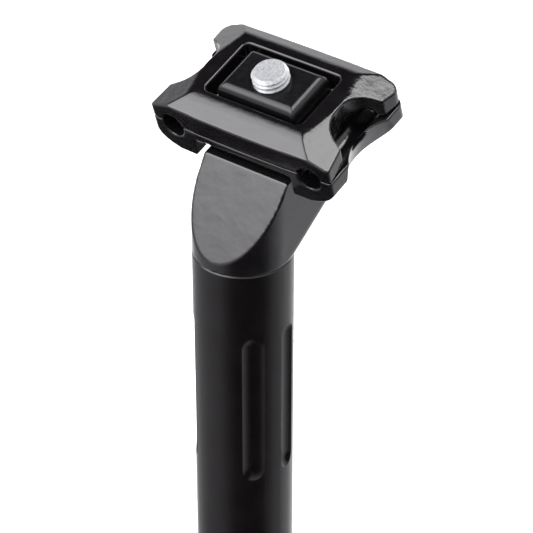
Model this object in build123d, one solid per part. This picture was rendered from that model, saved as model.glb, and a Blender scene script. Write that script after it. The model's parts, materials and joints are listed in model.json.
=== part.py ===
from build123d import *
import os
from math import asin, cos, degrees, radians, sin, sqrt

# A telescopic suspension seatpost with a single-bolt saddle clamp. Lengths are millimetres.
# Origin: on the post's axis, at the underside of the collar, where the post leaves the bicycle frame.
# +Z runs up the post, +X to the rider's side, and -Y is the front, where the saddle's nose points.

# ---- Suspension tubes ----
POST_R = 15.8                # the 31.6 mm shank that the bicycle frame clamps
POST_LENGTH = 190.0          # shank below the collar
POST_CHAMFER = 1.0
THREAD_R = 15.3              # collar thread on the tube's turned-down top
TUBE_RIM_Z = 9.0             # top of the outer tube, inside the collar
BORE_R = 14.4                # bore that the slider's bushings run in
FOOT_BORE_R = 12.5           # threaded lower bore
STOP_Z = -138.3              # shoulder between the two bores
TRAVEL = 40.0

SLIDER_R = 13.6              # the 27.2 mm fluted tube
SLIDER_TOP = 130.0
SLIDER_BOTTOM = -92.0
SLIDER_BORE_TOP = 10.3
SLIDER_BORE_LOW = 11.2
SPRING_SHOULDER_Z = 20.0     # step between the slider's two bores
SLIDER_FOOT_R = 12.8         # turned-down foot that carries the lower bushing
SLIDER_FOOT_TOP = -60.0
RIM_CHAMFER = 0.5

FLUTE_ANGLES = (-147.0, -98.0, -49.0, 49.0, 98.0, 147.0)   # from the front, towards +X
FLUTE_TOP = 19.8             # below the slider's top
FLUTE_BOTTOM = 68.2
FLUTE_DEPTH = 1.5
FLUTE_TOOL_R = 4.8           # ball-nosed cutter

# ---- Collar, bushings and keys ----
COLLAR_R = 19.4
COLLAR_TOP = 18.0
COLLAR_GRIP_Z = 4.0
COLLAR_FLATS = 12
COLLAR_FLAT_DEPTH = 0.8
COLLAR_FLAT_WIDTH = 5.6
COLLAR_CHAMFER = 1.2
COLLAR_LIP_R = 13.95
WIPER_GROOVE = (12.6, 16.4, 15.4)     # bottom, top and outer radius
WIPER_CLEARANCE = 0.05
WIPER_NECK_GAP = 0.02
WIPER_LIP_HEIGHT = 1.2
BUSHING_CLEARANCE = 0.05
BUSHING_CHAMFER = 0.4
UPPER_BUSHING_BOTTOM = -60.0
UPPER_BUSHING_FLANGE = (9.0, 11.0, 15.0)   # bottom, top and outer radius
KEY_ANGLES = (90.0, 210.0, 330.0)
KEY_WIDTH = 4.0
KEY_Z = (-56.0, -48.0)
KEY_R = (12.35, 14.95)
KEYWAY_DEPTH_R = 12.25
KEYWAY_SPARE = 1.0
KEY_SIDE_GAP = 0.06
LOWER_BUSHING_Z = (-90.0, -70.0)
CLIP_GROOVE_R = 12.2
CLIP_Z = (-91.2, -90.0)
CLIP_GAP = 5.0
CLIP_GAP_ANGLE = 90.0        # the gap faces the back
TOP_OUT_Z = (-70.0, -60.15)
TOP_OUT_R = 14.15
BOTTOM_OUT_R = (12.0, 14.2)
BOTTOM_OUT_TOP = -132.4
BUMPER_EDGE_R = 0.6

# ---- Spring ----
WIRE_R = 2.0
COIL_R = 8.5
COIL_TURNS = 20
SPRING_Z = (-168.0, 16.0)
SEATING_GAP = 0.02
SEAT_R = 11.05
GUIDE_R = 6.1
GUIDE_TENON_R = 4.0
GUIDE_BOTTOM = -100.0
GUIDE_CHAMFER = 1.5
LOWER_SEAT_R = 12.1
LOWER_SEAT_THICKNESS = 4.0
LOWER_PILOT_LENGTH = 8.0
PILOT_CHAMFER = 1.0
SCREW_R = 12.4
SCREW_Z = (-186.0, -172.05)
SCREW_HEX = 10.0             # across flats
SCREW_HEX_DEPTH = 8.0
SCREW_CHAMFER = 0.8

# ---- Saddle clamp, in its own frame: rails along local y, clamping along local z ----
CLAMP_TILT = 17.0            # the front is lower, so the rails are level when the post leans back
CLAMP_SETBACK = 15.2
CLAMP_RISE = 36.2            # above the slider's top
CLAMP_HALF_WIDTH = 28.8
CLAMP_FRONT = (17.9, 17.1)   # how far the front face stands forward, mid-width and at its ends
CLAMP_BACK = (17.4, 16.7)
PARTING_GAP = 0.2            # each half stands this far off the parting plane
FRONT_CORNER_R = 0.8
BACK_CORNER_R = 3.0

RAIL_SPACING = 44.0
RAIL_R = 3.5
RAIL_DROP = 0.7              # rail axis below the parting plane

PLATEAU_Z = 8.6
FRONT_EDGE_Z = 6.0
SLOPE_TOP_Y = 12.4
EAR_EDGE_Z = 3.9
EAR_SLOPE_X = 0.38
EAR_SLOPE_Y = 0.09
SHOULDER_R = 8.0             # where the plateau rolls over into its slopes
EAR_MOUTH_X = 27.6           # the ears narrow a little towards the scoop
SCOOP_X = 20.9
SCOOP_INNER_HALF = 6.4
SCOOP_MOUTH_HALF = 9.4
SCOOP_INNER_R = 7.5
SCOOP_MOUTH_R = 0.8
POCKET = (31.0, 19.2)
POCKET_FLOOR_Z = 2.8
POCKET_CORNER_R = 1.6
POCKET_RIM_CHAMFER = 0.4

SEAT_CURVE_Z = 7.1           # height of the tilt axis above the parting plane
CRADLE_R = 20.0
WASHER_SEAT_R = 28.0
CURVE_CLEARANCE = 0.05
LOBE_BOTTOM_Z = -8.9
LOBE_INNER_X = 15.7
LOBE_FLAT_X = 21.0
LOBE_ARC_MID = (26.8, -6.75)
LOBE_ARC_END = (29.8, -2.5)  # just beyond the side face, so the arc meets it at an angle
WAIST_CENTRE_X = 39.0
WAIST_R = (15.9, 13.4)       # at the bottom of the lobes and at the parting plane

NUT_SIZE = (25.2, 16.4)
NUT_Z = (2.8, 9.8)
NUT_TOP_R = 2.6
NUT_CORNER_R = 0.8

BOLT_R = 5.0                 # M10, modelled as its outer cylinder
BOLT_TIP_Z = 13.2
BOLT_CHAMFER = 0.6
BOLT_HOLE_R = 5.35
BOLT_THREAD_HOLE_R = 5.05
BOLT_HEX = 16.0
BOLT_HEAD_HEIGHT = 6.4
BOLT_CROWN_R = 8.2           # where the hexagon's corners are turned off at the crown
CURVED_WASHER_SIZE = (18.0, 17.0)
CURVED_WASHER_FLAT_Z = -24.2
FLAT_WASHER_R = 9.0
FLAT_WASHER_THICKNESS = 1.5
FLAT_WASHER_HOLE_R = 5.25

# ---- Cast head ----
TILT_RANGE = 10.0            # degrees, each way
SPIGOT_LENGTH = 32.0
NECK_SETBACK = 19.0
NECK_RISE = 12.4
NECK_TOP = 40.0
BEVEL_START_Z = 2.5
BEVEL_TOP = (-16.7, -7.2)    # clamp frame y and z of the bevel's top edge
LAND_Z = -7.2
SLOT_HALF_WIDTH = 5.5
POCKET_HALF_WIDTH = 10.2
POCKET_OUTER_R = 41.0
SWING_MARGIN = 1.2           # degrees

# ---- Worked out from the above ----
clamp_plane = Plane(
    origin=(0, CLAMP_SETBACK, SLIDER_TOP + CLAMP_RISE),
    x_dir=(1, 0, 0),
    z_dir=(0, -sin(radians(CLAMP_TILT)), cos(radians(CLAMP_TILT))),
)
RAIL_X = RAIL_SPACING / 2
FLAT_WASHER_BOTTOM_Z = CURVED_WASHER_FLAT_Z - FLAT_WASHER_THICKNESS
BOLT_HEAD_BOTTOM_Z = FLAT_WASHER_BOTTOM_Z - SEATING_GAP - BOLT_HEAD_HEIGHT
BIG = 120.0                  # larger than the part, for cutting blocks


def in_clamp(part):
    """Places a piece drawn in the clamp's own frame."""
    return Location(clamp_plane) * part


def clamp_to_row(y, z):
    """Row-frame (y, z) of a point on the clamp's middle plane."""
    tilt = radians(CLAMP_TILT)
    return (
        CLAMP_SETBACK + y * cos(tilt) - z * sin(tilt),
        SLIDER_TOP + CLAMP_RISE + y * sin(tilt) + z * cos(tilt),
    )


def block_up(x_size, y_size, z_size):
    """A box that stands on z = 0, centred on the z axis."""
    return Box(x_size, y_size, z_size, align=(Align.CENTER, Align.CENTER, Align.MIN))


def block_out(x_size, y_size, z_size):
    """A box that stands on z = 0 and runs out from the z axis along +X."""
    return Box(x_size, y_size, z_size, align=(Align.MIN, Align.CENTER, Align.MIN))


def cone_up(bottom_r, top_r, height):
    """A cone that stands on z = 0."""
    return Cone(bottom_r, top_r, height, align=(Align.CENTER, Align.CENTER, Align.MIN))


def rod(radius, bottom, top):
    """Upright cylinder on the post's axis."""
    return Pos(0, 0, bottom) * extrude(Circle(radius), top - bottom)


def ring(inner, outer, bottom, top):
    return rod(outer, bottom, top) - rod(inner, bottom, top)


def rod_along_x(radius, half_length, z):
    return Pos(0, 0, z) * extrude(Plane.YZ * Circle(radius), half_length, both=True)


def half_space(origin, normal):
    """A block that fills everything on the normal's side of a plane."""
    return Plane(origin=origin, z_dir=normal) * block_up(BIG, BIG, BIG)


def yz_prism(points, half_width):
    """A prism along X from corners given as (y, z)."""
    outline = Polyline(*[(0, y, z) for y, z in points], close=True)
    return extrude(make_face(outline), half_width, dir=(1, 0, 0), both=True)


def fan(inner, outer, half_angle, half_width):
    """The part of a ring about the tilt axis within half_angle of straight down, in the clamp frame."""
    reach = 2 * outer
    left = (-reach * sin(radians(half_angle)), SEAT_CURVE_Z - reach * cos(radians(half_angle)))
    right = (-left[0], left[1])
    wedge = yz_prism([(0, SEAT_CURVE_Z), left, right], half_width)
    disc = rod_along_x(outer, half_width, SEAT_CURVE_Z) - rod_along_x(inner, half_width, SEAT_CURVE_Z)
    return wedge & disc


# ---- Outer tube, fixed to the bicycle frame ----
def lower_tube():
    tube = rod(POST_R, -POST_LENGTH, 0) + rod(THREAD_R, 0, TUBE_RIM_Z)
    tube -= rod(BORE_R, STOP_Z, TUBE_RIM_Z) + rod(FOOT_BORE_R, -POST_LENGTH, STOP_Z)
    slot = block_out(KEY_R[1], KEY_WIDTH, TUBE_RIM_Z - KEY_Z[0])
    for angle in KEY_ANGLES:
        tube -= Rot(0, 0, angle) * Pos(0, 0, KEY_Z[0]) * slot
    bottom_rim = tube.edges().filter_by(GeomType.CIRCLE).group_by(Axis.Z)[0]
    return chamfer(bottom_rim, POST_CHAMFER)


def collar_nut():
    nut = rod(COLLAR_R, 0, COLLAR_TOP)
    nut -= rod(THREAD_R, 0, UPPER_BUSHING_FLANGE[1]) + rod(COLLAR_LIP_R, 0, COLLAR_TOP)
    nut -= rod(WIPER_GROOVE[2], WIPER_GROOVE[0], WIPER_GROOVE[1])
    outer_edges = [e for e in nut.edges().filter_by(GeomType.CIRCLE) if e.radius > WIPER_GROOVE[2] + 1]
    nut = chamfer(outer_edges, COLLAR_CHAMFER)
    flat_size = (COLLAR_R, COLLAR_FLAT_WIDTH, COLLAR_TOP - 2 * COLLAR_GRIP_Z)
    flat = Pos(COLLAR_R - COLLAR_FLAT_DEPTH, 0, COLLAR_GRIP_Z) * block_out(*flat_size)
    for step in range(COLLAR_FLATS):
        nut -= Rot(0, 0, step * 360 / COLLAR_FLATS) * flat
    return nut


def wiper_seal():
    """Ring held in the collar's groove, with a short lip that stands above the collar."""
    bottom, top, outer = WIPER_GROOVE
    neck_r = COLLAR_LIP_R - WIPER_NECK_GAP
    seal = rod(outer, bottom, top) + rod(neck_r, top, COLLAR_TOP)
    seal += Pos(0, 0, COLLAR_TOP) * cone_up(neck_r, SLIDER_R + 2 * WIPER_CLEARANCE, WIPER_LIP_HEIGHT)
    return seal - rod(SLIDER_R + WIPER_CLEARANCE, bottom, COLLAR_TOP + WIPER_LIP_HEIGHT)


def upper_bushing():
    flange_bottom, flange_top, flange_r = UPPER_BUSHING_FLANGE
    bushing = rod(BORE_R, UPPER_BUSHING_BOTTOM, flange_bottom) + rod(flange_r, flange_bottom, flange_top)
    bushing -= rod(SLIDER_R + BUSHING_CLEARANCE, UPPER_BUSHING_BOTTOM, flange_top)
    window = block_out(BORE_R + 1, KEY_WIDTH, KEY_Z[1] - KEY_Z[0])
    for angle in KEY_ANGLES:
        bushing -= Rot(0, 0, angle) * Pos(0, 0, KEY_Z[0]) * window
    return bushing


def guide_keys():
    key = Pos(KEY_R[0], 0, KEY_Z[0]) * block_out(KEY_R[1] - KEY_R[0], KEY_WIDTH, KEY_Z[1] - KEY_Z[0])
    return Compound([Rot(0, 0, angle) * key for angle in KEY_ANGLES])


def bottom_out_bumper():
    bumper = ring(BOTTOM_OUT_R[0], BOTTOM_OUT_R[1], STOP_Z, BOTTOM_OUT_TOP)
    return fillet(bumper.edges().group_by(Axis.Z)[-1], BUMPER_EDGE_R)


# ---- Slider ----
def flute(angle):
    """Capsule-shaped cutter that sinks FLUTE_DEPTH into the slider's wall."""
    axis_distance = SLIDER_R - FLUTE_DEPTH + FLUTE_TOOL_R
    end_reach = sqrt(FLUTE_TOOL_R**2 - (axis_distance - SLIDER_R) ** 2)
    bottom = SLIDER_TOP - FLUTE_BOTTOM + end_reach
    top = SLIDER_TOP - FLUTE_TOP - end_reach
    cutter = rod(FLUTE_TOOL_R, bottom, top)
    cutter += Pos(0, 0, bottom) * Sphere(FLUTE_TOOL_R) + Pos(0, 0, top) * Sphere(FLUTE_TOOL_R)
    return Rot(0, 0, angle) * Pos(0, -axis_distance, 0) * cutter


def slider_tube():
    tube = rod(SLIDER_R, SLIDER_FOOT_TOP, SLIDER_TOP) + rod(SLIDER_FOOT_R, SLIDER_BOTTOM, SLIDER_FOOT_TOP)
    tube = chamfer(tube.edges().filter_by(GeomType.CIRCLE).group_by(Axis.Z)[-1], RIM_CHAMFER)
    tube -= rod(SLIDER_BORE_TOP, SPRING_SHOULDER_Z, SLIDER_TOP)
    tube -= rod(SLIDER_BORE_LOW, SLIDER_BOTTOM, SPRING_SHOULDER_Z)
    tube -= ring(CLIP_GROOVE_R, SLIDER_R, CLIP_Z[0], CLIP_Z[1])
    for angle in FLUTE_ANGLES:
        tube -= flute(angle)
    keyway_bottom = KEY_Z[0] - KEYWAY_SPARE
    keyway_top = KEY_Z[1] + TRAVEL + KEYWAY_SPARE
    keyway_size = (SLIDER_R, KEY_WIDTH + 2 * KEY_SIDE_GAP, keyway_top - keyway_bottom)
    keyway = Pos(KEYWAY_DEPTH_R, 0, keyway_bottom) * block_out(*keyway_size)
    for angle in KEY_ANGLES:
        tube -= Rot(0, 0, angle) * keyway
    return tube


def lower_bushing():
    bushing = ring(SLIDER_FOOT_R, BORE_R - BUSHING_CLEARANCE, *LOWER_BUSHING_Z)
    outer_edges = [e for e in bushing.edges().filter_by(GeomType.CIRCLE) if e.radius > SLIDER_R]
    return chamfer(outer_edges, BUSHING_CHAMFER)


def foot_clip():
    clip = ring(CLIP_GROOVE_R, SLIDER_R, *CLIP_Z)
    gap = Pos(0, 0, CLIP_Z[0]) * block_out(SLIDER_R + 1, CLIP_GAP, CLIP_Z[1] - CLIP_Z[0])
    return clip - Rot(0, 0, CLIP_GAP_ANGLE) * gap


def top_out_bumper():
    return ring(SLIDER_FOOT_R, TOP_OUT_R, *TOP_OUT_Z)


def upper_spring_seat():
    return ring(GUIDE_TENON_R, SEAT_R, SPRING_Z[1], SPRING_SHOULDER_Z)


def spring_guide():
    guide = rod(GUIDE_R, GUIDE_BOTTOM, SPRING_Z[1])
    guide = chamfer(guide.edges().group_by(Axis.Z)[0], GUIDE_CHAMFER)
    return guide + rod(GUIDE_TENON_R, SPRING_Z[1], SPRING_SHOULDER_Z)


# ---- Spring and its preload screw ----
def main_spring():
    """Open coil with its end turns ground flat on the two seats."""
    height = SPRING_Z[1] - SPRING_Z[0]
    helix = Helix(pitch=height / COIL_TURNS, height=height, radius=COIL_R, center=(0, 0, SPRING_Z[0]))
    section = Plane(origin=helix @ 0, z_dir=helix % 0) * Circle(WIRE_R)
    coil = sweep(section, path=helix, is_frenet=True)
    return coil & rod(COIL_R + 2 * WIRE_R, SPRING_Z[0] + SEATING_GAP, SPRING_Z[1] - SEATING_GAP)


def lower_spring_seat():
    bottom = SPRING_Z[0] - LOWER_SEAT_THICKNESS
    seat = rod(LOWER_SEAT_R, bottom, SPRING_Z[0])
    pilot = rod(GUIDE_R, SPRING_Z[0], SPRING_Z[0] + LOWER_PILOT_LENGTH)
    return seat + chamfer(pilot.edges().group_by(Axis.Z)[-1], PILOT_CHAMFER)


def preload_screw():
    screw = rod(SCREW_R, *SCREW_Z)
    screw = chamfer(screw.edges().filter_by(GeomType.CIRCLE), SCREW_CHAMFER)
    socket = extrude(RegularPolygon(SCREW_HEX / 2, 6, major_radius=False), SCREW_HEX_DEPTH)
    return screw - Pos(0, 0, SCREW_Z[0]) * socket


# ---- Cast head ----
def neck():
    """Round neck that leaves the tube upright in front and sweeps back behind."""
    circle = Circle(SLIDER_R)
    sweep_length = sqrt(NECK_SETBACK**2 + NECK_RISE**2)
    body = extrude(circle, NECK_TOP)
    body += extrude(circle, sweep_length, dir=(0, NECK_SETBACK, NECK_RISE))
    body += Pos(0, NECK_SETBACK, NECK_RISE) * extrude(circle, NECK_TOP - NECK_RISE)
    body += yz_prism([(0, 0), (NECK_SETBACK, NECK_RISE), (NECK_SETBACK, NECK_TOP), (0, NECK_TOP)], SLIDER_R)
    return Pos(0, 0, SLIDER_TOP) * body


def head():
    body = neck()
    top_y, top_z = clamp_to_row(*BEVEL_TOP)
    start_z = SLIDER_TOP + BEVEL_START_Z
    bevel_normal = (0, -(top_z - start_z), top_y + SLIDER_R)
    body -= half_space((0, -SLIDER_R, start_z), bevel_normal)
    body -= in_clamp(half_space((0, 0, LAND_Z), (0, 0, 1)))
    body -= in_clamp(rod_along_x(CRADLE_R + CURVE_CLEARANCE, BIG, SEAT_CURVE_Z))
    slot_angle = TILT_RANGE + degrees(asin(BOLT_R / CRADLE_R)) + SWING_MARGIN
    body -= in_clamp(fan(SEAT_CURVE_Z, WASHER_SEAT_R + 2, slot_angle, SLOT_HALF_WIDTH))
    washer_half_length = CURVED_WASHER_SIZE[1] / 2
    pocket_angle = TILT_RANGE + degrees(asin(washer_half_length / WASHER_SEAT_R)) + SWING_MARGIN
    body -= in_clamp(fan(WASHER_SEAT_R, POCKET_OUTER_R, pocket_angle, POCKET_HALF_WIDTH))
    return body + rod(SLIDER_BORE_TOP, SLIDER_TOP - SPIGOT_LENGTH, SLIDER_TOP)


# ---- Saddle clamp ----
def clamp_outline(side_points):
    """Plan of a clamp half: bowed front and back edges, with the given points down its right side."""
    half_w = CLAMP_HALF_WIDTH
    front_mid, front_end = CLAMP_FRONT
    back_mid, back_end = CLAMP_BACK
    front = ThreePointArc((-half_w, -front_end), (0, -front_mid), (half_w, -front_end))
    right = Polyline((half_w, -front_end), *side_points, (half_w, back_end))
    back = ThreePointArc((half_w, back_end), (0, back_mid), (-half_w, back_end))
    left = Polyline((-half_w, back_end), *[(-x, y) for x, y in reversed(side_points)], (-half_w, -front_end))
    return make_face([front, right, back, left])


def round_corners(outline):
    """Rounds the four corners of a clamp half's plan."""
    front_end, back_end = CLAMP_FRONT[1], CLAMP_BACK[1]
    outline = fillet([v for v in outline.vertices() if v.Y < -front_end + 0.01], FRONT_CORNER_R)
    return fillet([v for v in outline.vertices() if v.Y > back_end - 0.01], BACK_CORNER_R)


def rail_grooves():
    groove = extrude(Plane.XZ * Circle(RAIL_R), BIG / 2, both=True)
    return [Pos(side * RAIL_X, 0, -RAIL_DROP) * groove for side in (-1, 1)]


def under_slope(point, normal):
    """Everything under the plateau and under a slope through the point, with a round shoulder between them."""
    fall = sqrt(normal[0] ** 2 + normal[1] ** 2)
    outward = (normal[0] / fall, normal[1] / fall)
    reach = point[0] * outward[0] + point[1] * outward[1]
    top = reach - (PLATEAU_Z - point[2]) / fall
    foot = top + PLATEAU_Z / fall
    outline = make_face(Polyline((-BIG, 0), (foot, 0), (top, PLATEAU_Z), (-BIG, PLATEAU_Z), close=True))
    outline = fillet(outline.vertices().sort_by_distance((top, PLATEAU_Z))[0], SHOULDER_R)
    section = Plane(origin=(0, 0, 0), x_dir=(*outward, 0), z_dir=(outward[1], -outward[0], 0))
    return extrude(section * outline, BIG, both=True)


def upper_clamp():
    scoop = [
        (EAR_MOUTH_X, -SCOOP_MOUTH_HALF),
        (SCOOP_X, -SCOOP_INNER_HALF),
        (SCOOP_X, SCOOP_INNER_HALF),
        (EAR_MOUTH_X, SCOOP_MOUTH_HALF),
    ]
    outline = round_corners(clamp_outline(scoop))
    outline = fillet([v for v in outline.vertices() if abs(v.X) < SCOOP_X + 1], SCOOP_INNER_R)
    mouth = [v for v in outline.vertices() if abs(abs(v.X) - EAR_MOUTH_X) < 0.01]
    outline = fillet(mouth, SCOOP_MOUTH_R)
    body = Pos(0, 0, PARTING_GAP) * extrude(outline, PLATEAU_Z - PARTING_GAP)
    for end, edge_y in ((-1, CLAMP_FRONT[0]), (1, CLAMP_BACK[0])):
        slope = (PLATEAU_Z - FRONT_EDGE_Z) / (edge_y - SLOPE_TOP_Y)
        body &= under_slope((0, end * edge_y, FRONT_EDGE_Z), (0, end * slope, 1))
        for side in (-1, 1):
            corner = (side * CLAMP_HALF_WIDTH, end * edge_y, EAR_EDGE_Z)
            body &= under_slope(corner, (side * EAR_SLOPE_X, end * EAR_SLOPE_Y, 1))
    pocket = Rectangle(*POCKET)
    pocket = fillet(pocket.vertices(), POCKET_CORNER_R)
    body -= Pos(0, 0, POCKET_FLOOR_Z) * extrude(pocket, PLATEAU_Z)
    top_edges = body.edges().group_by(Axis.Z)[-1]
    near_pocket = Box(POCKET[0] + 1, POCKET[1] + 1, BIG)
    rim = [e for e in top_edges if near_pocket.is_inside(e.center())]
    body = chamfer(rim, POCKET_RIM_CHAMFER)
    body -= extrude(Circle(BOLT_HOLE_R), PLATEAU_Z)
    for groove in rail_grooves():
        body -= groove
    return in_clamp(body)


def lower_clamp():
    outline = round_corners(clamp_outline([]))
    depth = CRADLE_R - SEAT_CURVE_Z + 1
    block = Pos(0, 0, -depth) * extrude(outline, depth - PARTING_GAP)
    lobe_edge = [
        Line((LOBE_INNER_X, 0), (LOBE_INNER_X, LOBE_BOTTOM_Z)),
        Line((LOBE_INNER_X, LOBE_BOTTOM_Z), (LOBE_FLAT_X, LOBE_BOTTOM_Z)),
        ThreePointArc((LOBE_FLAT_X, LOBE_BOTTOM_Z), LOBE_ARC_MID, LOBE_ARC_END),
        Line(LOBE_ARC_END, (LOBE_ARC_END[0], 0)),
        Line((LOBE_ARC_END[0], 0), (LOBE_INNER_X, 0)),
    ]
    lobe = extrude(Plane.XZ * make_face(lobe_edge), BIG / 2, both=True)
    lobe -= Pos(WAIST_CENTRE_X, 0, LOBE_BOTTOM_Z) * cone_up(*WAIST_R, -LOBE_BOTTOM_Z)
    web = rod_along_x(CRADLE_R, LOBE_INNER_X, SEAT_CURVE_Z)
    body = block & (lobe + mirror(lobe, Plane.YZ) + web)
    body -= Pos(0, 0, -depth) * extrude(Circle(BOLT_HOLE_R), depth)
    for groove in rail_grooves():
        body -= groove
    return in_clamp(body)


def nut_block():
    block = Pos(0, 0, NUT_Z[0]) * extrude(
        fillet(Rectangle(*NUT_SIZE).vertices(), NUT_CORNER_R), NUT_Z[1] - NUT_Z[0]
    )
    top_edges = block.edges().group_by(Axis.Z)[-1]
    block = fillet(top_edges.filter_by(GeomType.LINE).filter_by(Axis.X), NUT_TOP_R)
    block -= Pos(0, 0, NUT_Z[0]) * extrude(Circle(BOLT_THREAD_HOLE_R), NUT_Z[1])
    return in_clamp(block)


def clamp_bolt():
    shank = rod(BOLT_R, BOLT_HEAD_BOTTOM_Z, BOLT_TIP_Z)
    shank = chamfer(shank.edges().group_by(Axis.Z)[-1], BOLT_CHAMFER)
    hexagon = extrude(RegularPolygon(BOLT_HEX / 2, 6, major_radius=False), BOLT_HEAD_HEIGHT)
    crown = cone_up(BOLT_CROWN_R, BOLT_CROWN_R + BOLT_HEAD_HEIGHT, BOLT_HEAD_HEIGHT)
    return in_clamp(shank + Pos(0, 0, BOLT_HEAD_BOTTOM_Z) * (hexagon & crown))


def curved_washer():
    width, length = CURVED_WASHER_SIZE
    block = Pos(0, 0, CURVED_WASHER_FLAT_Z) * block_up(width, length, -CURVED_WASHER_FLAT_Z)
    block -= rod_along_x(WASHER_SEAT_R + CURVE_CLEARANCE, width, SEAT_CURVE_Z)
    return in_clamp(block - rod(BOLT_HOLE_R, CURVED_WASHER_FLAT_Z, 0))


def bolt_washer():
    return in_clamp(ring(FLAT_WASHER_HOLE_R, FLAT_WASHER_R, FLAT_WASHER_BOTTOM_Z, CURVED_WASHER_FLAT_Z))


NODES = (
    lower_tube,
    collar_nut,
    wiper_seal,
    upper_bushing,
    guide_keys,
    bottom_out_bumper,
    slider_tube,
    lower_bushing,
    foot_clip,
    top_out_bumper,
    upper_spring_seat,
    spring_guide,
    main_spring,
    lower_spring_seat,
    preload_screw,
    head,
    upper_clamp,
    lower_clamp,
    nut_block,
    clamp_bolt,
    curved_washer,
    bolt_washer,
)

os.makedirs("parts", exist_ok=True)
for build in NODES:
    export_step(build(), f"parts/{build.__name__}.step")
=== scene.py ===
import json
from math import cos, pi, radians, sin, tau

import bmesh
import bpy
from mathutils import Matrix, Vector, noise


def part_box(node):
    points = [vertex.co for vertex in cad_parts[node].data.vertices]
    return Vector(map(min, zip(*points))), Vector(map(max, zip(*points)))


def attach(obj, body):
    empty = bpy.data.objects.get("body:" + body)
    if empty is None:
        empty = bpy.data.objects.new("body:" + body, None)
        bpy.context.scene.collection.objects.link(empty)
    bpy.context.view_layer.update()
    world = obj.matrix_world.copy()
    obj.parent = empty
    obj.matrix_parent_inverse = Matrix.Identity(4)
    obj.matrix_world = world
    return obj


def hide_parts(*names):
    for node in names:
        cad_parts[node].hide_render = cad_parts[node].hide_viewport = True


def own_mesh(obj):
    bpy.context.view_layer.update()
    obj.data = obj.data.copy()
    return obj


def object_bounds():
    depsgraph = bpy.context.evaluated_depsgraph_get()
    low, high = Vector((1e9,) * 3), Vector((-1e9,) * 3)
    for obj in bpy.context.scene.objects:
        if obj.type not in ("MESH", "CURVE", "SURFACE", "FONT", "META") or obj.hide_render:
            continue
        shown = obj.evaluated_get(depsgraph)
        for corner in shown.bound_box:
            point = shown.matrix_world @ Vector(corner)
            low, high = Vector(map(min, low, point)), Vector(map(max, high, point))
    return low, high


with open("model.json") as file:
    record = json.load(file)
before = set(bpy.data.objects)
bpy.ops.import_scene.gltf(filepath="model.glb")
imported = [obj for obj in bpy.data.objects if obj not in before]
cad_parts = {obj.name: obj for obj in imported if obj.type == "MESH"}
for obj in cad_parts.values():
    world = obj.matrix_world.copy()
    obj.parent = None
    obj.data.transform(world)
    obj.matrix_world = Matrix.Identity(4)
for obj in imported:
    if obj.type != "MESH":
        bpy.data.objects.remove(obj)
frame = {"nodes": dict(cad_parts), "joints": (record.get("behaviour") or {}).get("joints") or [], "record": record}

# A telescopic suspension seatpost with a single-bolt saddle clamp.
# Lengths are metres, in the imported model's frame: +Z up the post, -Y the front.

cad_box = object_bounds()
scene = bpy.context.scene
MM = 0.001

# ---- Clamp frame: its y axis along the saddle rails, its origin on the clamp bolt's joint ----
mounts = {m["name"]: m for m in frame["record"]["mounts"]}
joints = {j["name"]: j for j in frame["joints"]}
rail_direction = Vector(mounts["rail_left"]["axis"]).normalized()
clamp_up = Vector((1, 0, 0)).cross(rail_direction)
clamp_origin = Vector(joints["clamp_bolt_turn"]["pos_m"])
clamp_to_row = Matrix((
    (1, 0, 0, clamp_origin.x),
    (0, rail_direction.y, clamp_up.y, clamp_origin.y),
    (0, rail_direction.z, clamp_up.z, clamp_origin.z),
    (0, 0, 0, 1),
))


# ---- Node helpers ----
NOISE_LOW = 0.3              # most of a noise texture's values lie between these two
NOISE_HIGH = 0.7
EDGE_HIGHLIGHT_FROM = 0.56             # pointiness where the painted highlight on an edge starts
EDGE_HIGHLIGHT_TO = 0.64               # pointiness where the painted highlight on an edge is full


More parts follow.
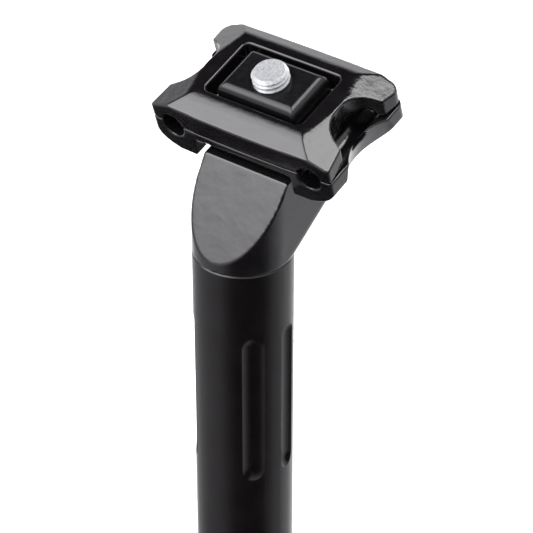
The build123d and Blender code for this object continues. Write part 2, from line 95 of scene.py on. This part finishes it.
class Paint:
    """A material with a Principled shader, and short calls for the nodes that feed it."""

    def __init__(self, name, colour, roughness, metallic=0.0):
        self.material = bpy.data.materials.new(name)
        self.material.use_nodes = True
        self.nodes = self.material.node_tree.nodes
        self.links = self.material.node_tree.links
        self.shader = self.nodes["Principled BSDF"]
        self.shader.inputs["Base Color"].default_value = (*colour, 1)
        self.shader.inputs["Roughness"].default_value = roughness
        self.shader.inputs["Metallic"].default_value = metallic
        self.coords = self.nodes.new("ShaderNodeTexCoord").outputs["Object"]
        self.normal = None

    def set(self, **values):
        """Sets shader inputs by name, with underscores for spaces."""
        for name, value in values.items():
            self.shader.inputs[name.replace("_", " ")].default_value = value
        return self

    def stretched(self, scale, turn=(0, 0, 0)):
        """Object coordinates turned and scaled, so that a noise read through them is drawn out."""
        mapping = self.nodes.new("ShaderNodeMapping")
        mapping.inputs["Scale"].default_value = scale
        mapping.inputs["Rotation"].default_value = turn
        self.links.new(self.coords, mapping.inputs["Vector"])
        return mapping.outputs["Vector"]

    def noise(self, size, detail=3.0, roughness=0.55, vector=None):
        """Noise whose blotches are about the given size, in metres or in the units of the given vector."""
        texture = self.nodes.new("ShaderNodeTexNoise")
        texture.inputs["Scale"].default_value = 1 / size
        texture.inputs["Detail"].default_value = detail
        texture.inputs["Roughness"].default_value = roughness
        self.links.new(vector or self.coords, texture.inputs["Vector"])
        return texture.outputs["Fac"]

    def ranged(self, value, low, high, from_low=NOISE_LOW, from_high=NOISE_HIGH):
        """The value spread over low to high."""
        mapped = self.nodes.new("ShaderNodeMapRange")
        mapped.inputs["From Min"].default_value = from_low
        mapped.inputs["From Max"].default_value = from_high
        mapped.inputs["To Min"].default_value = low
        mapped.inputs["To Max"].default_value = high
        self.links.new(value, mapped.inputs["Value"])
        return mapped.outputs["Result"]

    def colour_from(self, value, dark, light):
        ramp = self.nodes.new("ShaderNodeValToRGB")
        ramp.color_ramp.elements[0].position = NOISE_LOW
        ramp.color_ramp.elements[0].color = (*dark, 1)
        ramp.color_ramp.elements[1].position = NOISE_HIGH
        ramp.color_ramp.elements[1].color = (*light, 1)
        self.links.new(value, ramp.inputs["Fac"])
        self.links.new(ramp.outputs["Color"], self.shader.inputs["Base Color"])
        return self

    def roughness_from(self, value, low, high):
        self.links.new(self.ranged(value, low, high), self.shader.inputs["Roughness"])
        return self

    def bump(self, value, height, strength=1.0):
        """Adds relief of the given height in metres, on top of any relief already there."""
        node = self.nodes.new("ShaderNodeBump")
        node.inputs["Strength"].default_value = strength
        node.inputs["Distance"].default_value = height
        self.links.new(value, node.inputs["Height"])
        if self.normal:
            self.links.new(self.normal, node.inputs["Normal"])
        self.normal = node.outputs["Normal"]
        self.links.new(self.normal, self.shader.inputs["Normal"])
        return self

    def painted_edge_highlight(self, amount, colour):
        """Mixes in the given lighter colour as a painted highlight, by up to the given share, where the surface is
        most pointed.
        """
        pointed = self.nodes.new("ShaderNodeNewGeometry").outputs["Pointiness"]
        edge_highlight = self.ranged(pointed, 0.0, amount, EDGE_HIGHLIGHT_FROM, EDGE_HIGHLIGHT_TO)
        mix = self.nodes.new("ShaderNodeMix")
        mix.data_type = "RGBA"
        source = self.shader.inputs["Base Color"].links[0].from_socket
        self.links.new(edge_highlight, mix.inputs["Factor"])
        self.links.new(source, mix.inputs["A"])
        mix.inputs["B"].default_value = (*colour, 1)
        self.links.new(mix.outputs["Result"], self.shader.inputs["Base Color"])
        return self


def turned_rings(paint, pitch, height):
    """Fine lathe rings round the post's axis."""
    along_post = paint.stretched((0.0, 0.0, 1 / pitch))
    rings = paint.noise(1.0, detail=2.0, roughness=0.6, vector=along_post)
    return paint.bump(rings, height)


# ---- Materials ----
# How many cells of each drawn-out noise there are in a metre, along X, Y and Z.
FETTLING_STREAKS = (240, 800, 800)
BRUSHING_STREAKS = (120, 2600, 2600)
GRINDING_STREAKS = (3000, 3000, 150)
CLAMP_LEAN = radians(17)


def cast_paint(name, streak_height):
    """Gloss black over a casting, with a slow waviness, faint streaks from fettling along X, and a painted
    highlight on its most pointed edges.
    """
    paint = Paint(name, (0.006, 0.0055, 0.006), 0.13)
    paint.colour_from(paint.noise(6 * MM, 4), (0.0045, 0.004, 0.0045), (0.009, 0.008, 0.009))
    paint.roughness_from(paint.noise(1.4 * MM, 5), 0.06, 0.16)
    paint.set(Coat_Weight=0.6, Coat_Roughness=0.04, IOR=1.5)
    paint.bump(paint.noise(4.5 * MM, 2, 0.5), 0.18 * MM, 0.6)
    streaks = paint.noise(1.0, detail=3, roughness=0.6, vector=paint.stretched(FETTLING_STREAKS))
    paint.bump(streaks, streak_height, 0.6)
    paint.bump(paint.noise(0.9 * MM, 2, 0.5), 0.012 * MM, 0.5)
    # painted highlight: a lighter grey on the most pointed edges and rims, standing in for the light they catch
    paint.painted_edge_highlight(0.25, (0.03, 0.03, 0.032))
    return paint.material


def anodised_tube(name, ring_height):
    """Satin black anodising over lathe rings of the given height."""
    paint = Paint(name, (0.004, 0.0032, 0.0036), 0.22)
    paint.colour_from(paint.noise(9 * MM, 3), (0.004, 0.003, 0.0034), (0.0062, 0.005, 0.0056))
    paint.roughness_from(paint.noise(2.5 * MM, 4), 0.17, 0.26)
    turned_rings(paint, 0.35 * MM, ring_height)
    paint.bump(paint.noise(0.12 * MM, 2), 0.002 * MM, 0.6)
    return paint.material


def zinc_plate():
    paint = Paint("zinc_plate", (0.7, 0.71, 0.72), 0.35, 0.55)
    paint.colour_from(paint.noise(0.7 * MM, 4), (0.5, 0.52, 0.54), (0.78, 0.79, 0.8))
    paint.roughness_from(paint.noise(0.9 * MM, 4), 0.26, 0.42)
    paint.bump(paint.noise(0.35 * MM, 3), 0.006 * MM, 0.5)
    return paint.material


def black_oxide():
    paint = Paint("black_oxide", (0.007, 0.007, 0.008), 0.18, 0.0)
    paint.colour_from(paint.noise(2.4 * MM, 4), (0.005, 0.005, 0.0055), (0.01, 0.0095, 0.0105))
    paint.roughness_from(paint.noise(1.1 * MM, 5), 0.13, 0.24)
    brushing = paint.stretched(BRUSHING_STREAKS, turn=(CLAMP_LEAN, 0, 0))
    brushed = paint.noise(1.0, detail=3, roughness=0.6, vector=brushing)
    paint.bump(brushed, 0.002 * MM, 0.5)
    paint.bump(paint.noise(0.3 * MM, 3), 0.002 * MM, 0.5)
    return paint.material


def bare_aluminium():
    paint = Paint("bare_aluminium", (0.62, 0.63, 0.64), 0.32, 1.0)
    paint.colour_from(paint.noise(3 * MM, 4), (0.5, 0.51, 0.52), (0.72, 0.73, 0.74))
    paint.roughness_from(paint.noise(1.2 * MM, 4), 0.24, 0.42)
    return turned_rings(paint, 0.3 * MM, 0.008 * MM).material


def spring_wire():
    paint = Paint("spring_wire", (0.16, 0.16, 0.17), 0.42, 0.9)
    paint.colour_from(paint.noise(1.6 * MM, 5), (0.09, 0.09, 0.1), (0.26, 0.26, 0.27))
    paint.roughness_from(paint.noise(0.7 * MM, 4), 0.32, 0.55)
    paint.bump(paint.noise(0.25 * MM, 4), 0.02 * MM, 0.7)
    return paint.material


def ground_steel():
    paint = Paint("ground_steel", (0.5, 0.5, 0.5), 0.3, 1.0)
    paint.colour_from(paint.noise(1.2 * MM, 4), (0.4, 0.4, 0.4), (0.6, 0.6, 0.6))
    paint.roughness_from(paint.noise(0.6 * MM, 4), 0.22, 0.4)
    grinding = paint.noise(1.0, detail=3, roughness=0.6, vector=paint.stretched(GRINDING_STREAKS))
    return paint.bump(grinding, 0.004 * MM, 0.8).material


def acetal(name, dark, light):
    paint = Paint(name, light, 0.45)
    paint.colour_from(paint.noise(4 * MM, 4), dark, light)
    paint.roughness_from(paint.noise(1 * MM, 4), 0.38, 0.55)
    paint.set(Subsurface_Weight=0.08, Subsurface_Scale=1 * MM)
    turned_rings(paint, 0.25 * MM, 0.006 * MM)
    return paint.material


def rubber():
    paint = Paint("nitrile_rubber", (0.012, 0.012, 0.012), 0.62)
    paint.colour_from(paint.noise(2 * MM, 5), (0.009, 0.009, 0.009), (0.02, 0.02, 0.02))
    paint.roughness_from(paint.noise(0.8 * MM, 4), 0.5, 0.75)
    paint.set(Sheen_Weight=0.15, Sheen_Roughness=0.5)
    return paint.bump(paint.noise(0.3 * MM, 4), 0.02 * MM, 0.7).material


def urethane():
    paint = Paint("amber_urethane", (0.55, 0.3, 0.06), 0.4)
    paint.colour_from(paint.noise(3 * MM, 4), (0.42, 0.22, 0.04), (0.62, 0.36, 0.09))
    paint.roughness_from(paint.noise(1 * MM, 4), 0.32, 0.5)
    paint.set(Subsurface_Weight=0.3, Subsurface_Scale=2 * MM)
    return paint.bump(paint.noise(0.5 * MM, 3), 0.015 * MM, 0.6).material


def etched_mark():
    paint = Paint("etched_mark", (0.45, 0.45, 0.46), 0.6, 0.3)
    paint.colour_from(paint.noise(0.4 * MM, 4), (0.36, 0.36, 0.37), (0.55, 0.55, 0.56))
    paint.roughness_from(paint.noise(0.3 * MM, 3), 0.5, 0.7)
    return paint.bump(paint.noise(0.15 * MM, 3), 0.004 * MM, 0.8).material


FLOOR_GLOW = 0.4             # lifts the floor to a clean white


def pale_floor():
    paint = Paint("pale_floor", (0.9, 0.9, 0.9), 0.9)
    paint.colour_from(paint.noise(300 * MM, 3), (0.89, 0.89, 0.89), (0.92, 0.92, 0.92))
    paint.set(Emission_Color=(1, 1, 1, 1), Emission_Strength=FLOOR_GLOW)
    return paint.bump(paint.noise(2 * MM, 3), 0.02 * MM, 0.3).material


MATERIALS = {
    "clamp": cast_paint("clamp_gloss_paint", 0.10 * MM),
    "head": cast_paint("head_gloss_paint", 0.03 * MM),
    "slider": anodised_tube("anodised_slider", 0.0015 * MM),
    "shank": anodised_tube("anodised_shank", 0.004 * MM),
    "zinc": zinc_plate(),
    "oxide": black_oxide(),
    "bare": bare_aluminium(),
    "spring": spring_wire(),
    "ground": ground_steel(),
    "acetal_black": acetal("acetal_black", (0.01, 0.01, 0.01), (0.018, 0.018, 0.018)),
    "acetal_white": acetal("acetal_white", (0.68, 0.66, 0.6), (0.78, 0.76, 0.7)),
    "rubber": rubber(),
    "urethane": urethane(),
    "mark": etched_mark(),
}

NODE_MATERIALS = {
    "lower_tube": "shank",
    "collar_nut": "shank",
    "wiper_seal": "rubber",
    "upper_bushing": "acetal_white",
    "guide_keys": "ground",
    "bottom_out_bumper": "urethane",
    "slider_tube": "slider",
    "lower_bushing": "acetal_white",
    "foot_clip": "spring",
    "top_out_bumper": "urethane",
    "upper_spring_seat": "acetal_black",
    "spring_guide": "acetal_black",
    "lower_spring_seat": "acetal_black",
    "preload_screw": "bare",
    "curved_washer": "bare",
    "bolt_washer": "zinc",
}

for node_name, material_name in NODE_MATERIALS.items():
    node = frame["nodes"][node_name]
    node.data.materials.clear()
    node.data.materials.append(MATERIALS[material_name])


# ---- Mesh helpers ----
WELD_DISTANCE = 0.001        # millimetres
RELIEF_SIZE = 3.6            # millimetres across one swell of a casting's skin
SMOOTHING = 0.5


def add_piece(name, mesh, material, body, stands_for=()):
    """A visual piece on a body, in place of any CAD nodes that it stands for."""
    piece = bpy.data.objects.new(name, mesh)
    scene.collection.objects.link(piece)
    mesh.materials.clear()
    mesh.materials.append(MATERIALS[material])
    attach(piece, body)
    if stands_for:
        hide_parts(*stands_for)
    return piece


def smooth_faces(mesh):
    mesh.polygons.foreach_set("use_smooth", [True] * len(mesh.polygons))
    mesh.update()


def welded_copy(node_name):
    """A closed copy of a CAD node's mesh, in millimetres and in the clamp's own frame."""
    mesh = frame["nodes"][node_name].data.copy()
    mesh.transform(Matrix.Scale(1 / MM, 4) @ clamp_to_row.inverted())
    work = bmesh.new()
    work.from_mesh(mesh)
    bmesh.ops.remove_doubles(work, verts=work.verts, dist=WELD_DISTANCE)
    work.to_mesh(mesh)
    work.free()
    return mesh


def eased(node_name, piece_name, material, body, slot, voxel, passes, relief=0.0):
    """The CAD shape with its edges rounded, and a faint unevenness on its skin. Lengths are millimetres."""
    source = bpy.data.objects.new("source", welded_copy(node_name))
    scene.collection.objects.link(source)
    remesh = source.modifiers.new("remesh", "REMESH")
    remesh.mode = "VOXEL"
    remesh.voxel_size = voxel
    smooth = source.modifiers.new("smooth", "SMOOTH")
    smooth.factor = SMOOTHING
    smooth.iterations = passes
    depsgraph = bpy.context.evaluated_depsgraph_get()
    mesh = bpy.data.meshes.new_from_object(source.evaluated_get(depsgraph))
    bpy.data.objects.remove(source)
    if relief:
        normals = [vertex.normal.copy() for vertex in mesh.vertices]
        for vertex, normal in zip(mesh.vertices, normals):
            swell = noise.noise(vertex.co / RELIEF_SIZE)
            vertex.co -= normal * relief * (0.5 + 0.5 * swell)
    mesh.transform(clamp_to_row @ Matrix.Scale(MM, 4))
    smooth_faces(mesh)
    mesh.name = piece_name
    add_piece(piece_name, mesh, material, body, (node_name,))


def grid_mesh(name, rows):
    """A closed mesh over rows of points, each row a loop of the same length, with both ends capped."""
    count = len(rows[0])
    points = [p for row in rows for p in row]
    faces = []
    for r in range(len(rows) - 1):
        for c in range(count):
            a, b = r * count + c, r * count + (c + 1) % count
            faces.append((a, b, b + count, a + count))
    faces.append(tuple(reversed(range(count))))
    faces.append(tuple(range((len(rows) - 1) * count, len(rows) * count)))
    mesh = bpy.data.meshes.new(name)
    mesh.from_pydata(points, [], faces)
    mesh.validate()
    return mesh


# ---- Cast pieces, and the milled nut ----
CLAMP_SKIN = {"voxel": 0.26, "passes": 7, "relief": 0.035}
HEAD_SKIN = {"voxel": 0.34, "passes": 4, "relief": 0.02}
NUT_SKIN = {"voxel": 0.2, "passes": 2}

eased("upper_clamp", "upper_clamp_casting", "clamp", "clamp_top", "black_paint", **CLAMP_SKIN)
eased("lower_clamp", "lower_clamp_casting", "clamp", "cradle", "black_paint", **CLAMP_SKIN)
eased("head", "head_casting", "head", "slider", "black_paint", **HEAD_SKIN)
eased("nut_block", "nut_block_milled", "oxide", "clamp_top", "black_oxide", **NUT_SKIN)

# ---- Clamp bolt, with its thread ----
BOLT_R = 5.0 * MM
BOLT_BODY_R = BOLT_R * 0.985
BOLT_SIDES = 96
HEAD_CLEAR_OF = BOLT_R * 1.2     # only the head's points stand further out than this
HEAD_FILLET_R = BOLT_R * 1.06
HEAD_FILLET_HEIGHT = 0.35 * MM
THREAD_PITCH = 1.5 * MM
THREAD_DEPTH = 0.62 * MM
THREAD_LENGTH = 18 * MM
THREAD_RUN_OUT = 0.5 * MM
THREAD_CREST_R = BOLT_R * 0.995
THREAD_ROOT_FLAT = 0.12
THREAD_FLANK = 0.72
RINGS_A_PITCH = 16
SHARP_ANGLE = radians(32)
TIP_CHAMFER = 0.9 * MM
TIP_R = BOLT_R - TIP_CHAMFER
TIP_RIM_R = TIP_R * 0.97
TIP_DISH_R = TIP_R * 0.6
TIP_DISH_DEPTH = 0.05 * MM

# The head's profile from its free face: share of its height, then share of the radius at its corners.
HEAD_PROFILE = (
    (0.0, 0.5),
    (0.0, 0.84),
    (0.03, 0.885),
    (0.12, 0.95),
    (0.22, 1.0),
    (0.9, 1.0),
    (0.97, 0.965),
    (1.0, 0.9),
)


def bolt_ring(z, radius_at):
    angles = [tau * k / BOLT_SIDES for k in range(BOLT_SIDES)]
    return [(radius_at(a) * cos(a), radius_at(a) * sin(a), z) for a in angles]


def round_ring(z, radius):
    return bolt_ring(z, lambda angle: radius)


def head_ring(z, half_flat, reach):
    """A hexagon cut back to a reach, with flats that face X, a twelfth of a turn from the CAD's."""

    def radius_at(angle):
        wrapped = (angle + pi / 6) % (pi / 3) - pi / 6
        return min(reach, half_flat / cos(wrapped))

    return bolt_ring(z, radius_at)


def thread_ring(z, start, tip):
    """The thread at one height: it fades in over a pitch from its start, and the tip's chamfer cuts it."""
    fade = min(1.0, (z - start) / THREAD_PITCH)
    limit = BOLT_R - max(0.0, TIP_CHAMFER - (tip - z))

    def radius_at(angle):
        phase = z / THREAD_PITCH - angle / tau
        rise = 1 - abs(2 * (phase % 1.0) - 1)
        crest = min(1.0, max(0.0, (rise - THREAD_ROOT_FLAT) / THREAD_FLANK))
        return min(limit, THREAD_CREST_R - THREAD_DEPTH * fade * (1 - crest))

    return bolt_ring(z, radius_at)


def clamp_bolt():
    """Hexagon-headed bolt on the clamp frame's z axis, sized from the CAD's, with a thread on its end."""
    local = [clamp_to_row.inverted() @ v.co for v in frame["nodes"]["clamp_bolt"].data.vertices]
    tip = max(p.z for p in local)
    head_bottom = min(p.z for p in local)
    head_points = [p for p in local if (p.x * p.x + p.y * p.y) ** 0.5 > HEAD_CLEAR_OF]
    head_top = max(p.z for p in head_points)
    height = head_top - head_bottom
    half_flat = max(abs(p.y) for p in head_points)
    corner = half_flat / cos(pi / 6)
    rows = []
    for share, reach in HEAD_PROFILE:
        rows.append(head_ring(head_bottom + share * height, half_flat, reach * corner))
    rows.append(round_ring(head_top, HEAD_FILLET_R))
    rows.append(round_ring(head_top + HEAD_FILLET_HEIGHT, BOLT_BODY_R))
    thread_start = tip - THREAD_LENGTH
    rows.append(round_ring(thread_start - THREAD_RUN_OUT, BOLT_BODY_R))
    steps = int(THREAD_LENGTH / (THREAD_PITCH / RINGS_A_PITCH))
    for step in range(steps + 1):
        rows.append(thread_ring(thread_start + THREAD_LENGTH * step / steps, thread_start, tip))
    rows.append(round_ring(tip, TIP_RIM_R))
    rows.append(round_ring(tip - TIP_DISH_DEPTH, TIP_DISH_R))
    mesh = grid_mesh("clamp_bolt_threaded", rows)
    mesh.transform(clamp_to_row)
    smooth_faces(mesh)
    mesh.set_sharp_from_angle(angle=SHARP_ANGLE)
    add_piece("clamp_bolt_threaded", mesh, "zinc", "bolt", ("clamp_bolt",))


clamp_bolt()

# ---- Main spring, in two lengths that meet at a height that never moves ----
WIRE_R = 2.0 * MM
COIL_R = 8.5 * MM
SPRING_TURNS = 20
STEPS_A_TURN = 40
WIRE_SIDES = 16
spring_low, spring_high = (corner.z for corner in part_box("main_spring"))


def coil(name, start_turn, end_turn):
    """The wire between two of the spring's turns, flattened where it would pass the spring's ends."""
    pitch = (spring_high - spring_low) / SPRING_TURNS
    rows = []
    steps = int((end_turn - start_turn) * STEPS_A_TURN)
    for step in range(steps + 1):
        turn = start_turn + (end_turn - start_turn) * step / steps
        angle = tau * turn
        centre = Vector((COIL_R * cos(angle), COIL_R * sin(angle), spring_low + pitch * turn))
        outward = Vector((cos(angle), sin(angle), 0))
        along = Vector((-COIL_R * sin(angle), COIL_R * cos(angle), pitch / tau)).normalized()
        across = along.cross(outward)
        row = []
        for side in range(WIRE_SIDES):
            turn_in_wire = tau * side / WIRE_SIDES
            point = centre + WIRE_R * (cos(turn_in_wire) * outward + sin(turn_in_wire) * across)
            point.z = min(max(point.z, spring_low), spring_high)
            row.append(point)
        rows.append(row)
    mesh = grid_mesh(name, rows)
    smooth_faces(mesh)
    return mesh


half_turns = SPRING_TURNS / 2
upper_coil = add_piece(
    "spring_upper_coils", coil("spring_upper_coils", half_turns, SPRING_TURNS), "spring",
    "frame_tube", ("main_spring",)
)
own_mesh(upper_coil)
lower_coil = add_piece(
    "spring_lower_coils", coil("spring_lower_coils", 0, half_turns), "spring",
    "frame_tube", ("main_spring",)
)
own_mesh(lower_coil)

# ---- Minimum-insertion marks on the shank ----
MARK_COUNT = 9
MARK_SPACING = radians(9)
MARK_TOP = -86 * MM
LONG_MARK = 14 * MM
SHORT_MARK = 9 * MM
LONG_MARK_EVERY = 4
MARK_WIDTH = 0.5 * MM
MARK_STEPS = 4
MARK_STAND = 0.012 * MM
SHANK_R = -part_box("lower_tube")[0].x


def insertion_marks():
    """Short upright lines round the front of the shank, every fourth one longer."""
    radius = SHANK_R + MARK_STAND
    half = MARK_WIDTH / 2 / SHANK_R
    points, faces = [], []
    for index in range(MARK_COUNT):
        centre = -pi / 2 + (index - (MARK_COUNT - 1) / 2) * MARK_SPACING
        length = LONG_MARK if index % LONG_MARK_EVERY == 0 else SHORT_MARK
        first = len(points)
        for z in (MARK_TOP, MARK_TOP - length):
            for step in range(MARK_STEPS + 1):
                angle = centre - half + 2 * half * step / MARK_STEPS
                points.append((radius * cos(angle), radius * sin(angle), z))
        for a in range(first, first + MARK_STEPS):
            below = a + MARK_STEPS + 1
            faces.append((a, below, below + 1, a + 1))
    mesh = bpy.data.meshes.new("insertion_marks")
    mesh.from_pydata(points, [], faces)
    smooth_faces(mesh)
    add_piece("insertion_marks", mesh, "mark", "frame_tube")


insertion_marks()

# ---- Floor ----
FLOOR_HALF = 4.0
floor_z = cad_box[0].z
floor_mesh = bpy.data.meshes.new("floor")
floor_mesh.from_pydata(
    [(x * FLOOR_HALF, y * FLOOR_HALF, floor_z) for x, y in ((-1, -1), (1, -1), (1, 1), (-1, 1))],
    [],
    [(0, 1, 2, 3)],
)
floor = bpy.data.objects.new("floor", floor_mesh)
scene.collection.objects.link(floor)
floor_mesh.materials.append(pale_floor())
floor.visible_glossy = False


# ---- Light ----
def direction_to(azimuth, elevation):
    """Unit vector from the post: azimuth 0 is its front and 90 is +X, in degrees."""
    a, e = radians(azimuth), radians(elevation)
    return Vector((sin(a) * cos(e), -cos(a) * cos(e), sin(e)))


def softbox(name, azimuth, elevation, distance, size, radiance):
    """A rectangular lamp aimed at the clamp, hidden from the camera."""
    light = bpy.data.lights.new(name, "AREA")
    light.shape = "RECTANGLE"
    light.size, light.size_y = size
    light.energy = radiance * pi * size[0] * size[1]
    lamp = bpy.data.objects.new(name, light)
    scene.collection.objects.link(lamp)
    towards = direction_to(azimuth, elevation)
    lamp.location = clamp_origin + towards * distance
    lamp.rotation_mode = "QUATERNION"
    lamp.rotation_quaternion = towards.to_track_quat("Z", "Y")
    lamp.visible_camera = False


softbox("overhead_softbox", azimuth=138, elevation=76, distance=1.2, size=(0.62, 0.5), radiance=5.0)

# A gap or glow is an azimuth, an elevation, the angle from there of full effect and the angle of none, in
# degrees. Its last number is the share of light left in a gap, or the light added at a glow.
TENT_COLOUR = (0.98, 0.97, 1.0, 1)
TENT_GAPS = (
    (-60, -75, 22, 38, 0.02),
    (48, -26, 18, 80, 0.0),
    (104, 2, 16, 36, 0.02),
    (143, -34, 12, 34, 0.72),
    (-66, -32, 16, 52, 0.5),
    (-115, 58, 28, 46, 0.0),
)
TENT_GLOWS = (
    (-40, 52, 10, 38, 4.1),
    (178, 12, 6, 24, 2.0),
)


def studio_world():
    """A white tent with dark gaps in it, and soft glows where lamps shine through the cloth."""
    world = bpy.data.worlds.new("studio")
    world.use_nodes = True
    nodes, links = world.node_tree.nodes, world.node_tree.links
    background = nodes["Background"]
    looking = nodes.new("ShaderNodeTexCoord").outputs["Generated"]

    def lobe(azimuth, elevation, inner, outer, outside, inside):
        """One value in a round patch of directions and another away from it, with a soft edge."""
        aligned = nodes.new("ShaderNodeVectorMath")
        aligned.operation = "DOT_PRODUCT"
        aligned.inputs[1].default_value = direction_to(azimuth, elevation)
        links.new(looking, aligned.inputs[0])
        shade = nodes.new("ShaderNodeMapRange")
        shade.interpolation_type = "SMOOTHSTEP"
        shade.inputs["From Min"].default_value = cos(radians(outer))
        shade.inputs["From Max"].default_value = cos(radians(inner))
        shade.inputs["To Min"].default_value = outside
        shade.inputs["To Max"].default_value = inside
        links.new(aligned.outputs["Value"], shade.inputs["Value"])
        return shade.outputs["Result"]

    def combine(operation, first, second):
        """The two values joined by a maths operation, or the second alone where there is no first."""
        if first is None:
            return second
        node = nodes.new("ShaderNodeMath")
        node.operation = operation
        links.new(first, node.inputs[0])
        links.new(second, node.inputs[1])
        return node.outputs["Value"]

    brightness = None
    for azimuth, elevation, inner, outer, light_left in TENT_GAPS:
        brightness = combine("MULTIPLY", brightness, lobe(azimuth, elevation, inner, outer, 1.0, light_left))
    for azimuth, elevation, inner, outer, light_added in TENT_GLOWS:
        brightness = combine("ADD", brightness, lobe(azimuth, elevation, inner, outer, 0.0, light_added))
    links.new(brightness, background.inputs["Strength"])
    background.inputs["Color"].default_value = TENT_COLOUR
    return world


scene.world = studio_world()
scene.view_settings.view_transform = "Standard"

# ---- Camera ----
CAMERA_AZIMUTH = 37.236
CAMERA_ELEVATION = 34.114
CAMERA_DISTANCE = 0.6092
CAMERA_CLIP_START = 0.01
LENS_MM = 155.52
SENSOR_WIDTH_MM = 36.0
AIM_FROM_RIM = Vector((6.53, 1.64, -4.0)) * MM
slider_rim = Vector((0, 0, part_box("slider_tube")[1].z))

camera_data = bpy.data.cameras.new("camera")
camera_data.lens = LENS_MM
camera_data.sensor_width = SENSOR_WIDTH_MM
camera_data.clip_start = CAMERA_CLIP_START
camera = bpy.data.objects.new("camera", camera_data)
scene.collection.objects.link(camera)
camera_back = direction_to(CAMERA_AZIMUTH, CAMERA_ELEVATION)
camera.location = slider_rim + AIM_FROM_RIM + camera_back * CAMERA_DISTANCE
camera.rotation_mode = "QUATERNION"
camera.rotation_quaternion = (-camera_back).to_track_quat("-Z", "Y")
scene.camera = camera
